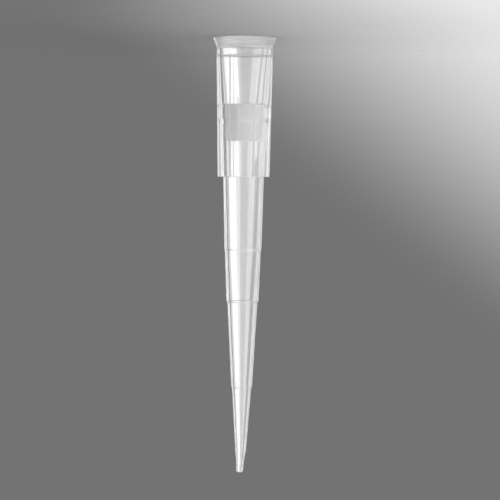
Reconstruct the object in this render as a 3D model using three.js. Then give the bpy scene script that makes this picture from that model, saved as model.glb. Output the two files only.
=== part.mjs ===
// A filter tip for a 200 microlitre air-displacement pipette, standing on its rim.
// Millimetres, +Z up. The origin is the centre of the rim's flat face, and the point is uppermost.
// Two pieces: the tip, moulded in one shot of clear polypropylene, and the porous plug in its bore.
import * as THREE from 'three';

// ---- Driving dimensions, in millimetres ----------------------------------------------------------

// Lengths of the stretches of the tip, in order from the rim to the point.
const flareHeight = 1.15; // the rim's outward flare
const flareBlend = 0.22; // the end of the flare, where it curves into the collar
const partingDrop = 1.0; // from the flare to the mould's parting step
const partingBand = 0.35; // height of that step
const collarStraight = 13.55; // from the parting step to the rack shoulder
const barrelTo100 = 8.45; // rack shoulder to the 100 microlitre ledge
const barrelTo50 = 6.05; // on to the 50 microlitre ledge
const barrelTo10 = 10.05; // on to the 10 microlitre ledge
const barrelToNozzle = 7.45; // on to where the point necks in
const neckLength = 1.35; // the necking
const neckBlend = 0.3; // the end of the necking, where it curves into the nozzle
const nozzleLength = 1.1; // the fine nozzle

// Bore radii, rim to point.
const filterBore = 2.205; // the foot of the band that grips the filter
const gripDraft = 0.045; // that band opens this much towards the socket
const filterRelief = 0.08; // the socket's end is this much wider again
const filterStop = 0.095; // the ledge under that band
const boreAtShoulder = 1.925;
const boreAt100 = 1.69;
const boreAt50 = 1.375;
const boreAt10 = 0.865;
const boreAtNeck = 0.4;
const boreAtNozzle = 0.275;
const orifice = 0.21;

// Walls, each measured outwards from the bore at that height.
const wallAtShoulder = 0.42;
const wallAt100 = 0.455;
const wallAt50 = 0.483;
const wallAt10 = 0.335;
const wallAtNeck = 0.215;
const wallAtNozzle = 0.16;
const wallAtOrifice = 0.17;

// The collar.
const rackShoulder = 0.65; // width of the face that hangs in a tip rack
const collarDraft = 0.22; // how much wider the collar is under the parting step than at its foot
const partingStep = 0.025; // outward step of the collar at the parting line
const flareWidth = 0.44; // how far the rim stands out from the collar
const rimLand = 0.29; // width of the rim's flat face and its two edges
const collarWall = 0.46; // wall around the mouth of the socket

// Depths in the socket, from the rim inwards.
const leadIn = 0.95; // the cone that guides the pipette's nose
const socketLength = 6.81; // the tapered fit for the nose
const reliefHeight = 0.29;
const gripBand = 1.38; // the band that grips the filter
const stopHeight = 0.35;

// Graduation ledges, and edge radii.
const ledge100 = 0.06;
const ledge50 = 0.113;
const ledge10 = 0.087;
const ledgeHeight = 0.05;
const rimEdge = 0.07;
const mouthEdge = 0.04;
const shoulderEdge = 0.06;
const pointEdge = 0.05;

// The filter.
const filterDepth = 7.68; // rim to the plug's face
const filterLength = 4.27;
const filterClearance = 0.02; // the plug is drawn at this gap to the bore
const filterEdge = 0.05;

const segments = 48; // facets around the axis
const curveSteps = 4; // facets along a curve of the section

// ---- Heights above the rim's face ----------------------------------------------------------------

const partingTop = flareHeight + partingDrop;
const partingFoot = partingTop + partingBand;
const shoulder = partingFoot + collarStraight;
const mark100 = shoulder + barrelTo100;
const mark50 = mark100 + barrelTo50;
const mark10 = mark50 + barrelTo10;
const neck = mark10 + barrelToNozzle;
const nozzle = neck + neckLength;
const point = nozzle + nozzleLength;

const reliefTop = leadIn + socketLength;
const gripTop = reliefTop + reliefHeight;
const stopTop = gripTop + gripBand;
const stopFoot = stopTop + stopHeight;

// ---- Outside radii -------------------------------------------------------------------------------

const barrelRadius = boreAtShoulder + wallAtShoulder;
const collarFoot = barrelRadius + rackShoulder;
const collarUnderParting = collarFoot + collarDraft;
const collarTop = collarUnderParting + partingStep;
const rimRadius = collarTop + flareWidth;
const mouthRadius = rimRadius - rimLand;
const socketRadius = collarTop - collarWall;
const gripMouth = filterBore + gripDraft;
const nozzleRadius = boreAtNozzle + wallAtNozzle;
const pointRadius = orifice + wallAtOrifice;

// ---- Profiles: x is the radius, y the height above the rim ----------------------------------------

// The bore, from the foot of the lead-in cone to the orifice.
const bore = [
  [socketRadius, leadIn],
  [gripMouth + filterRelief, reliefTop],
  [gripMouth, gripTop],
  [filterBore, stopTop],
  [filterBore - filterStop, stopFoot],
  [boreAtShoulder, shoulder],
  [boreAt100, mark100],
  [boreAt50, mark50],
  [boreAt10, mark10],
  [boreAtNeck, neck],
  [boreAtNozzle, nozzle],
  [orifice, point],
];

// The bore's radius at any height, straight between its stations.
function boreRadius(height) {
  const next = bore.findIndex(([, y]) => y >= height);
  if (next <= 0) return bore.at(next)[0];
  const [r0, y0] = bore[next - 1];
  const [r1, y1] = bore[next];
  return THREE.MathUtils.mapLinear(height, y0, y1, r0, r1);
}

// A straight stretch of barrel, ending in the small slanted ledge that marks a volume.
function barrelStretch(section, radius, height, ledge) {
  section.lineTo(radius, height);
  section.lineTo(radius - ledge, height + ledgeHeight);
}

// The tip's section: up the outside from the rim to the point, then back down the bore.
function tipSection() {
  const section = new THREE.Path();
  section.moveTo(rimRadius - rimEdge, 0);
  section.quadraticCurveTo(rimRadius, 0, rimRadius, rimEdge);
  section.quadraticCurveTo(collarTop, flareHeight - flareBlend, collarTop, flareHeight);
  section.lineTo(collarTop, partingTop);
  section.lineTo(collarUnderParting, partingFoot);
  section.lineTo(collarFoot, shoulder - shoulderEdge);
  section.quadraticCurveTo(collarFoot, shoulder, collarFoot - shoulderEdge, shoulder);
  section.lineTo(barrelRadius, shoulder);
  barrelStretch(section, boreAt100 + wallAt100, mark100, ledge100);
  barrelStretch(section, boreAt50 + wallAt50, mark50, ledge50);
  barrelStretch(section, boreAt10 + wallAt10, mark10, ledge10);
  section.lineTo(boreAtNeck + wallAtNeck, neck);
  section.quadraticCurveTo(nozzleRadius, nozzle - neckBlend, nozzleRadius, nozzle);
  section.lineTo(pointRadius, point - pointEdge);
  section.quadraticCurveTo(pointRadius, point, pointRadius - pointEdge, point);
  for (const [radius, height] of bore.toReversed()) section.lineTo(radius, height);
  section.lineTo(mouthRadius - mouthEdge, mouthEdge);
  section.quadraticCurveTo(mouthRadius, 0, mouthRadius + mouthEdge, 0);
  section.closePath();
  return section.getPoints(curveSteps);
}

// The plug's section: it takes the bore's form, with small rounded edges.
function filterSection() {
  const foot = filterDepth + filterLength;
  const side = [filterDepth + filterEdge, ...bore.map(([, height]) => height), foot - filterEdge]
    .filter((height) => height >= filterDepth + filterEdge && height <= foot - filterEdge)
    .map((height) => new THREE.Vector2(boreRadius(height) - filterClearance, height));
  return [
    new THREE.Vector2(0, filterDepth),
    new THREE.Vector2(side[0].x - filterEdge, filterDepth),
    ...side,
    new THREE.Vector2(side.at(-1).x - filterEdge, foot),
    new THREE.Vector2(0, foot),
  ];
}

// Turn a section about the tip's axis, which stands along +Z.
function turned(name, section, material) {
  const geometry = new THREE.LatheGeometry(section, segments).rotateX(Math.PI / 2);
  const mesh = new THREE.Mesh(geometry, material);
  mesh.name = name;
  return mesh;
}

// ---- The pieces ----------------------------------------------------------------------------------

const polypropylene = new THREE.MeshStandardMaterial({
  color: 0xdddddb, roughness: 0.18, metalness: 0, transparent: true, opacity: 0.55,
});
const porousPolyethylene = new THREE.MeshStandardMaterial({
  color: 0xe6e6e3, roughness: 0.9, metalness: 0,
});

const pipetteTip = new THREE.Group();
pipetteTip.name = 'pipette_tip';
pipetteTip.add(turned('tip_body', tipSection(), polypropylene));
pipetteTip.add(turned('filter_plug', filterSection(), porousPolyethylene));

export default pipetteTip;
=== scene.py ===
from math import cos, pi, radians, sin

import bpy
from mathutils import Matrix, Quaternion, Vector


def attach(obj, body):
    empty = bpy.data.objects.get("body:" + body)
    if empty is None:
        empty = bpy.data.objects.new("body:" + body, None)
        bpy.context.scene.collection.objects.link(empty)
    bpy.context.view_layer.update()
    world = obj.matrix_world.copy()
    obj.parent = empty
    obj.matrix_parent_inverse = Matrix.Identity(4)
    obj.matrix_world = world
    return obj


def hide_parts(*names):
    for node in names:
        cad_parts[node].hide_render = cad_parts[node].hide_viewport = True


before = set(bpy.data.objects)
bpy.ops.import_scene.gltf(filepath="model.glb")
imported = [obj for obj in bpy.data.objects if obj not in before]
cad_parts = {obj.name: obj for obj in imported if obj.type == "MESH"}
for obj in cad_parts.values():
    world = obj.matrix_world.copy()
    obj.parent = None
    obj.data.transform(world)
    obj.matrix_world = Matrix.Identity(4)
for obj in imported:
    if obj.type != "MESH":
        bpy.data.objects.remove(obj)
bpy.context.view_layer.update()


# ---- The camera ------------------------------------------------------------------------------
# The tip stands on its rim, as a tip does when it is set down, and is shown as it is used: rim up
# and point down. So the camera looks along +Y from a little above the rim's height, and is turned
# over about its own axis, with a lean of half a degree.

mm = 0.001

eye_distance = 200 * mm
eye_height = 14 * mm
aim_height = 24.54 * mm
aim_side = -0.82 * mm
field_of_view = radians(16.5)
lean = radians(0.55)

bpy.ops.object.camera_add(location=(aim_side, -eye_distance, eye_height))
camera = bpy.context.object
camera.name = "camera"
line_of_sight = Vector((0, eye_distance, aim_height - eye_height))
turned_over = Quaternion((0, 0, 1), pi + lean)
camera.rotation_mode = "QUATERNION"
camera.rotation_quaternion = line_of_sight.to_track_quat("-Z", "Y") @ turned_over
camera.data.sensor_width = 36
camera.data.angle = field_of_view
camera.data.clip_start = 10 * mm
camera.data.clip_end = 100
bpy.context.scene.camera = camera


# ---- The tip ---------------------------------------------------------------------------------
# One injection moulding of natural polypropylene, clear with a slight milkiness. The mould's
# cavity shapes its outside and a polished core pin its bore. Here a ring is drawn up the outside
# from the rim to the point, then back down the bore to the mouth, where it closes on itself.

facets = 256
edge_steps = 6
curve_steps = 40
holding = 0.03           # beside each edge, in millimetres, a ring that steadies the shading

# Radii and heights are in millimetres, and heights are counted from the rim's face to the point.
# Top, foot and under are meant as the tip is used, rim up.
rim_radius = 3.68
mouth_radius = 3.39
rim_edge = 0.07
mouth_edge = 0.04
collar_top_radius = 3.24
flare_height = 1.15
flare_blend = 0.22
ripple = 0.015           # turning marks that the mould has left on the flare
ripple_pitch = 0.25
ripple_end = 0.5         # the last stretch of the flare, over which they die away
parting_top = 2.1
parting_foot = 2.25
under_parting_radius = 3.232
shoulder_height = 16.05
collar_foot_radius = 2.995
shoulder_edge = 0.06
barrel_radius = 2.345
ledge_height = 0.05

# Each graduation ledge: its height, the barrel's radius above it, and how far it steps in.
ledges = [(24.5, 2.145, 0.06), (30.55, 1.858, 0.113), (40.6, 1.2, 0.087)]

neck_height = 48.05
neck_radius = 0.615
neck_blend = 0.3
nozzle_height = 49.4
nozzle_radius = 0.435
point_height = 50.5
point_radius = 0.38
point_edge = 0.05
drift_from = 46.5        # from here on the fine point runs a little off the axis
point_drift = 0.15

# The bore, from the orifice back to the foot of the lead-in cone: radius and height.
bore_stations = [
    (0.21, 50.5), (0.275, 49.4), (0.4, 48.05), (0.865, 40.6), (1.375, 30.55), (1.69, 24.5),
    (1.925, 16.05), (2.03, 12.4), (2.11, 9.8), (2.125, 9.76), (2.19, 9.45), (2.205, 9.41),
    (2.25, 8.07), (2.265, 8.03), (2.315, 7.78), (2.33, 7.74), (2.79, 0.8),
]


def bend(start, corner, end, steps):
    """Points of a smooth curve from start to end, pulled towards corner."""
    points = []
    for step in range(steps + 1):
        t = step / steps
        radius = (1 - t) ** 2 * start[0] + 2 * t * (1 - t) * corner[0] + t ** 2 * end[0]
        height = (1 - t) ** 2 * start[1] + 2 * t * (1 - t) * corner[1] + t ** 2 * end[1]
        points.append((radius, height))
    return points


def rippled(radius, height):
    """The flare's radius with its turning marks."""
    depth = ripple * min(1, (flare_height - height) / ripple_end)
    return radius + depth * cos(2 * pi * height / ripple_pitch)


def part_way(start, end, length):
    """The point that lies this far along the straight from start to end."""
    run = Vector(end) - Vector(start)
    return tuple(Vector(start) + run * (length / run.length))


def steadied(points):
    """The same outline, with a point close beside each end of every long straight."""
    outline = [points[0]]
    for start, end in zip(points, points[1:]):
        if (Vector(end) - Vector(start)).length > 4 * holding:
            outline += [part_way(start, end, holding), part_way(end, start, holding)]
        outline.append(end)
    return outline


def turned_piece(name, outline, filled, drift=0):
    """A ring is drawn through the outline's points, in millimetres, about the tip's axis."""
    def middle(height):
        share = max(0, height - drift_from) / (point_height - drift_from)
        return Vector((share * drift, 0, height)) * mm

    bpy.ops.object.select_all(action="DESELECT")
    radius, height = outline[0]
    bpy.ops.mesh.primitive_circle_add(
        vertices=facets, radius=radius * mm, fill_type=filled, location=(0, 0, 0))
    piece = bpy.context.object
    piece.name = name
    bpy.ops.object.mode_set(mode="EDIT")
    bpy.ops.mesh.select_all(action="SELECT")
    bpy.ops.transform.translate(value=middle(height))
    for next_radius, next_height in outline[1:]:
        bpy.ops.mesh.extrude_region_move(
            TRANSFORM_OT_translate={"value": middle(next_height) - middle(height)})
        share = next_radius / radius
        bpy.ops.transform.resize(value=(share, share, 1), center_override=middle(next_height))
        radius, height = next_radius, next_height
    bpy.ops.mesh.select_all(action="SELECT")
    bpy.ops.mesh.remove_doubles(threshold=0.0005 * mm)
    bpy.ops.mesh.normals_make_consistent(inside=False)
    bpy.ops.object.mode_set(mode="OBJECT")
    bpy.ops.object.shade_smooth()
    return piece


rim = bend((rim_radius - rim_edge, 0), (rim_radius, 0), (rim_radius, rim_edge), edge_steps)
flare = bend((rim_radius, rim_edge), (collar_top_radius, flare_height - flare_blend),
             (collar_top_radius, flare_height), curve_steps)
flare = [(rippled(radius, height), height) for radius, height in flare]
parting = [(collar_top_radius, parting_top), (under_parting_radius, parting_foot)]
foot = bend((collar_foot_radius, shoulder_height - shoulder_edge),
            (collar_foot_radius, shoulder_height),
            (collar_foot_radius - shoulder_edge, shoulder_height), edge_steps)
outside = rim + flare[1:] + parting + foot + [(barrel_radius, shoulder_height)]
for height, radius, step in ledges:
    outside += [(radius, height), (radius - step, height + ledge_height)]
neck = bend((neck_radius, neck_height), (nozzle_radius, nozzle_height - neck_blend),
            (nozzle_radius, nozzle_height), curve_steps)
point = bend((point_radius, point_height - point_edge), (point_radius, point_height),
             (point_radius - point_edge, point_height), edge_steps)
mouth = bend((mouth_radius - mouth_edge, mouth_edge), (mouth_radius, 0),
             (mouth_radius + mouth_edge, 0), edge_steps)
outline = outside + neck + point + bore_stations + mouth
outline.append(outline[0])

tip = turned_piece("clear_tip", steadied(outline), "NOTHING", point_drift)

clear_plastic = bpy.data.materials.new("natural_polypropylene")
clear_plastic.use_nodes = True
tree = clear_plastic.node_tree


def wired(kind, *values, **settings):
    """A node in the current tree. Its inputs, in order, take values or other nodes' outputs."""
    node = tree.nodes.new("ShaderNode" + kind)
    for setting, value in settings.items():
        setattr(node, setting, value)
    for socket, value in zip(node.inputs, values):
        if isinstance(value, bpy.types.NodeSocket):
            tree.links.new(value, socket)
        elif value is not None:
            socket.default_value = value
    return node.outputs[0]


def maths(operation, *values):
    """A calculation in the current tree."""
    return wired("Math", *values, operation=operation)


def ramp(value, start, end, low=0, high=1):
    """An eased change from low to high as the value goes from start to end."""
    return wired("MapRange", value, start, end, low, high, interpolation_type="SMOOTHSTEP")


def fine_line(value, centre, width):
    """A narrow band at one angle or height, 1 along its middle and 0 at its sides."""
    return ramp(maths("ABSOLUTE", maths("SUBTRACT", value, centre)), 0, width / 2, 1, 0)


def bumps(relief, strength, depth):
    """The way a surface faces once it has this relief, so many millimetres deep."""
    bump = tree.nodes.new("ShaderNodeBump")
    bump.inputs["Strength"].default_value = strength
    bump.inputs["Distance"].default_value = depth * mm
    tree.links.new(relief, bump.inputs["Height"])
    return bump.outputs["Normal"]


place = wired("TexCoord").node.outputs["Object"]
parts = wired("SeparateXYZ", place).node.outputs
angle = maths("ARCTAN2", parts["X"], maths("MULTIPLY", parts["Y"], -1))
radius = maths("SQRT", maths("ADD", maths("POWER", parts["X"], 2), maths("POWER", parts["Y"], 2)))
height = parts["Z"]
on_outside = ramp(radius, 2.85 * mm, 2.95 * mm)
on_barrel = ramp(height, (shoulder_height - 0.15) * mm, (shoulder_height + 0.15) * mm)

# Grey, cloudy lines run down the collar's outside below the parting step: the angle from the camera's
# side and the width of each, in degrees, and its strength.
collar_line_marks = [(31, 6, 1), (22.6, 3, 0.9), (-24, 3, 0.3)]
collar_lines = 0
for degrees, width, strength in collar_line_marks:
    line = fine_line(angle, radians(degrees), radians(width))
    collar_lines = maths("ADD", collar_lines, maths("MULTIPLY", line, strength))
under_parting = maths("MULTIPLY", ramp(height, 1.9 * mm, 2.4 * mm), on_outside)
collar_lines = maths("MULTIPLY", collar_lines, under_parting)

# Painted shade lines run round the tip at its steps: greyer, cloudier plastic that stands in for the
# shade the steps throw. A clear one at the collar's parting step, and faint ones at the graduation
# ledges and at the ledge that holds the filter. Of each faint line, its height and width in
# millimetres and its strength.
faint_step_shades = [(ledge + ledge_height / 2, 0.26, 0.15) for ledge, radius_there, step in ledges]
faint_step_shades.append((9.45, 0.14, 0.08))
step_shade_lines = fine_line(height, (parting_top + parting_foot) / 2 * mm, 0.24 * mm)
step_shade_lines = maths("MULTIPLY", step_shade_lines, on_outside)
for middle, width, strength in faint_step_shades:
    line = fine_line(height, middle * mm, width * mm)
    step_shade_lines = maths("ADD", step_shade_lines, maths("MULTIPLY", line, strength))
# Both kinds of line together: the collar's grey lines and the painted shade at the steps.
lines_and_step_shade = maths("ADD", collar_lines, step_shade_lines)

# The flare has a milky skin outside, and at its foot a painted highlight: a pale band of less clear
# plastic that stands in for the light caught there. The collar's thick foot scatters a little more
# light than its thin top does, and the thin barrel less.
collar_top_clarity = 0.88
collar_foot_clarity = 0.84
barrel_gain = 0.05
flare_skin_loss = 0.38
flare_foot_highlight_loss = 0.45
line_and_shade_loss = 0.88
flare_skin = ramp(maths("ADD", radius, maths("MULTIPLY", height, 0.45)), 3.4 * mm, 3.5 * mm)
flare_skin = maths("MULTIPLY", flare_skin, ramp(height, 1.12 * mm, 1.24 * mm, 1, 0))
# Painted highlight: a pale band round the outside at the flare's foot.
flare_foot_highlight = maths("MULTIPLY", fine_line(height, 1.22 * mm, 0.36 * mm), on_outside)
clarity = ramp(height, 8 * mm, 10.5 * mm, collar_top_clarity, collar_foot_clarity)
clarity = maths("ADD", clarity, maths("MULTIPLY", on_barrel, barrel_gain))
for part, loss in ((flare_skin, flare_skin_loss), (flare_foot_highlight, flare_foot_highlight_loss), (lines_and_step_shade, line_and_shade_loss)):
    clarity = maths("SUBTRACT", clarity, maths("MULTIPLY", part, loss))

# How white the plastic is. The flare is a little greyer than the rest, and so are the collar's grey
# lines and the painted shade lines at the steps.
flare_white = 0.89
plastic_white = 0.96
line_and_shade_grey = 0.3
step_shade_grey = 0.15
tint = ramp(height, 1.0 * mm, 1.14 * mm, flare_white, plastic_white)
for part, grey in ((lines_and_step_shade, line_and_shade_grey), (step_shade_lines, step_shade_grey)):
    tint = maths("SUBTRACT", tint, maths("MULTIPLY", part, grey))

# Faint drag marks run lengthwise, stronger on the barrel, and fade out on the fine point.
drag_fineness = 11
around = wired("VectorMath", wired("CombineXYZ", parts["X"], parts["Y"], 0), operation="NORMALIZE")
drag_marks = wired("TexNoise", around, None, drag_fineness, 2, 0.5)
drag_marks = maths("MULTIPLY", drag_marks, ramp(height, 2 * mm, 2.4 * mm, 0, 0.02))
drag_marks = maths("MULTIPLY", drag_marks, maths("ADD", on_barrel, 1))
drag_marks = maths("MULTIPLY", drag_marks, ramp(height, 30 * mm, 42 * mm, 1, 0.1))

# Turning marks from the mould run round the flare, and are only just there on the rest.
turning_marks_per_mm = 4.5
turning_place = wired("CombineXYZ", 0, 0, maths("MULTIPLY", height, 1 / mm))
turning_marks = wired("TexNoise", turning_place, None, turning_marks_per_mm, 2, 0.6)
turning_marks = maths("MULTIPLY", turning_marks, ramp(height, 0.75 * mm, 0.9 * mm, 4, 0.04))
relief = maths("ADD", drag_marks, turning_marks)

surface = tree.nodes["Principled BSDF"]
tree.links.new(wired("CombineColor", tint, tint, tint), surface.inputs["Base Color"])
tree.links.new(ramp(height, 0.7 * mm, 0.9 * mm, 0.08, 0.03), surface.inputs["Roughness"])
surface.inputs["IOR"].default_value = 1.49
tree.links.new(clarity, surface.inputs["Transmission Weight"])
tree.links.new(bumps(relief, 0.5, 0.012), surface.inputs["Normal"])
tip.data.materials.append(clear_plastic)

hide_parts("tip_body")
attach(tip, "root")


# ---- The filter ------------------------------------------------------------------------------
# A plug of white polyethylene grains, sintered in a mould and pressed into the bore inside the
# collar. It takes the bore's form there, and grips on the small ledge.

filter_top = 7.68
filter_foot = 11.95
filter_gap = 0.02        # the plug is drawn this far from the bore that grips it
filter_edge = 0.05
grain = 0.12
roughness_of_grain = 0.008


def bore_radius(height):
    """The bore's radius at a height, straight between its stations."""
    for (far_radius, far), (near_radius, near) in zip(bore_stations, bore_stations[1:]):
        if near <= height <= far:
            share = (height - near) / (far - near)
            return near_radius + share * (far_radius - near_radius)


side_length = filter_foot - filter_top - 2 * filter_edge
rows = round(side_length / grain)
heights = [filter_top + filter_edge + side_length * row / rows for row in range(rows + 1)]
side = [(bore_radius(height) - filter_gap, height) for height in heights]
top_radius = side[0][0] - filter_edge
foot_radius = side[-1][0] - filter_edge
rings = round(top_radius / grain)
top = [(top_radius * ring / rings, filter_top) for ring in range(1, rings + 1)]
foot = [(foot_radius * ring / rings, filter_foot) for ring in range(rings, 0, -1)]

plug = turned_piece("porous_filter", top + side + foot, "NGON")
bpy.ops.object.mode_set(mode="EDIT")
bpy.ops.mesh.select_all(action="SELECT")
bpy.ops.transform.vertex_random(offset=roughness_of_grain * mm, uniform=0.3, normal=0.7, seed=4)
bpy.ops.object.mode_set(mode="OBJECT")

porous_plastic = bpy.data.materials.new("sintered_polyethylene")
porous_plastic.use_nodes = True
tree = porous_plastic.node_tree
place = wired("TexCoord").node.outputs["Object"]

# Grains a tenth of a millimetre across, each a slightly different white, with pits between them.
grains = wired("TexVoronoi", place, None, 1 / (grain * mm)).node
shades = wired("SeparateXYZ", grains.outputs["Color"])
clouds = wired("TexNoise", place, None, 1 / mm, 2, 0.5)
white = maths("ADD", wired("MapRange", shades, 0, 1, 0.9, 0.97),
              wired("MapRange", clouds, 0.3, 0.7, -0.03, 0.01))
pits = wired("MapRange", grains.outputs["Distance"], 0.2, 0.8, 1, 0)

surface = tree.nodes["Principled BSDF"]
tree.links.new(wired("CombineColor", white, white, white), surface.inputs["Base Color"])
surface.inputs["Roughness"].default_value = 0.9
tree.links.new(bumps(pits, 0.6, 0.03), surface.inputs["Normal"])
plug.data.materials.append(porous_plastic)

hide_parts("filter_plug")
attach(plug, "root")


# ---- The studio ------------------------------------------------------------------------------
# A sheet of paper with light and shade painted on it, pale on one side and mid grey on the other,
# which fades into a backdrop that is lit the same way. Softboxes stand round the tip, cards and narrow
# strips behind it make the stripes in the clear plastic, and one softbox hangs overhead.

floor_radius = 400
painted_light_side = Vector((-1, -0.1, 0))
painted_shade_until = -21         # towards the pale side, in millimetres from the tip
painted_light_from = 46
painted_shade_tone = 0.18
painted_light_tone = 0.95
fade_from = 15           # round the tip, the radii between which the paper fades away
fade_to = 60

bpy.ops.mesh.primitive_circle_add(vertices=96, radius=floor_radius * mm, fill_type="NGON")
floor = bpy.context.object
floor.name = "floor"
paper = bpy.data.materials.new("floor_paper")
paper.use_nodes = True
tree = paper.node_tree
place = wired("TexCoord").node.outputs["Object"]
across = wired("VectorMath", place, painted_light_side, operation="DOT_PRODUCT").node.outputs["Value"]
reach = wired("VectorMath", place, operation="LENGTH").node.outputs["Value"]
sheet = tree.nodes["Principled BSDF"]
# Painted light and shade: the paper runs from grey where shade falls to pale where light falls.
painted_light_and_shade = ramp(across, painted_shade_until * mm, painted_light_from * mm, painted_shade_tone, painted_light_tone)
tree.links.new(painted_light_and_shade, sheet.inputs["Base Color"])
sheet.inputs["Roughness"].default_value = 1
sheet.inputs["Specular IOR Level"].default_value = 0
fading = ramp(reach, fade_from * mm, fade_to * mm, 0.15, 1)
faded_sheet = wired("MixShader", fading, sheet.outputs["BSDF"], wired("BsdfTransparent"))
tree.links.new(faded_sheet, tree.nodes["Material Output"].inputs["Surface"])
floor.data.materials.append(paper)

# The backdrop glows on the floor's pale side and below, and falls off again far out on that side.
glow_side = Vector((-1, 0.1, -1.33))
mid_grey = 0.171
glow = 0.85

world = bpy.data.worlds.new("backdrop")
bpy.context.scene.world = world
world.use_nodes = True
tree = world.node_tree
heading = wired("TexCoord").node.outputs["Generated"]
slope = wired("VectorMath", heading, glow_side, operation="DOT_PRODUCT").node.outputs["Value"]
falloff = wired("MapRange", wired("SeparateXYZ", heading), -0.165, -0.225, 1, 0.42)
backdrop = maths("MULTIPLY", ramp(slope, 0.1, 0.39, mid_grey, glow), falloff)
tree.links.new(backdrop, tree.nodes["Background"].inputs["Color"])

lamp_distance = 300


def softbox(name, turn, width, height, brightness, middle=60, seen_through=True):
    """A softbox facing the tip, turned so many degrees from the camera's side towards +X."""
    spot = Vector((sin(radians(turn)), -cos(radians(turn)), middle / lamp_distance))
    spot = spot * lamp_distance * mm
    bpy.ops.object.light_add(type="AREA", location=spot)
    lamp = bpy.context.object
    lamp.name = name
    lamp.rotation_mode = "QUATERNION"
    lamp.rotation_quaternion = Vector((-spot.x, -spot.y, 0)).to_track_quat("-Z", "Y")
    lamp.data.shape = "RECTANGLE"
    lamp.data.size = width * mm
    lamp.data.size_y = height * mm
    lamp.data.energy = brightness * width * height * mm * mm * pi
    lamp.visible_camera = False
    lamp.visible_transmission = seen_through
    return lamp


# Left and right are as the turned-over camera sees them. At the front and at the right two
# softboxes share one place. Only the first of each two is seen through the plastic, and the second
# adds to reflections and to the light on matt surfaces.
softbox("front_softbox", -1, 375, 300, 0.95)
softbox("front_reflection_softbox", -1, 375, 300, 0.85, seen_through=False)
softbox("left_softbox", 68, 660, 300, 0.75)
left_rear = softbox("left_rear_softbox", 147, 80, 200, 1.2)
softbox("right_softbox", -62, 370, 300, 0.9)
softbox("right_reflection_softbox", -62, 370, 300, 0.4, seen_through=False)

# The filter's light comes from high on the right, and reaches only what lies behind the plastic.
filter_fill = softbox("filter_fill_softbox", -50, 900, 500, 2.4, middle=460)
filter_fill.visible_diffuse = False
filter_fill.visible_glossy = False

softbox("right_rim_softbox", -115, 255, 200, 0.45)
right_rear = softbox("right_rear_softbox", -146, 80, 200, 0.75)
back_left = softbox("back_left_softbox", 168, 122, 200, 1.4)
softbox("back_left_card", 175.6, 14, 31, 0.7, middle=-4.5)
softbox("back_diffuser", 180, 37, 200, 0.35)
back_right = softbox("back_right_strip", -174.6, 32, 200, 0.62)
back_right_card = softbox("back_right_card", -165, 46, 80, 0.7, middle=-21)

# Five of them have soft sides. Of each, the share of its width over which either side fades, and
# how steeply the second side does.
for lamp, first_share, second_share, steepness in (
        (left_rear, 0.2, 0.2, 1), (right_rear, 0.2, 0.2, 1), (back_left, 0.3, 0.2, 2),
        (back_right, 0.25, 0.15, 1), (back_right_card, 0.1, 0.1, 1)):
    lamp.data.use_nodes = True
    tree = lamp.data.node_tree
    across = wired("SeparateXYZ", wired("NewGeometry").node.outputs["Parametric"])
    first_side = wired("MapRange", across, 0, first_share, 0, 1)
    second_side = wired("MapRange", across, 1, 1 - second_share, 0, 1)
    both_sides = maths("MULTIPLY", first_side, maths("POWER", second_side, steepness))
    tree.links.new(both_sides, tree.nodes["Emission"].inputs["Strength"])

overhead_height = 420
overhead_width = 400
overhead_brightness = 2.8

bpy.ops.object.light_add(type="AREA", location=(0, 0, overhead_height * mm))
overhead = bpy.context.object
overhead.name = "overhead_softbox"
overhead.data.shape = "DISK"
overhead.data.size = overhead_width * mm
overhead.data.energy = overhead_brightness * pi * (overhead_width / 2 * mm) ** 2 * pi
overhead.visible_camera = False

bpy.context.scene.view_settings.view_transform = "Standard"
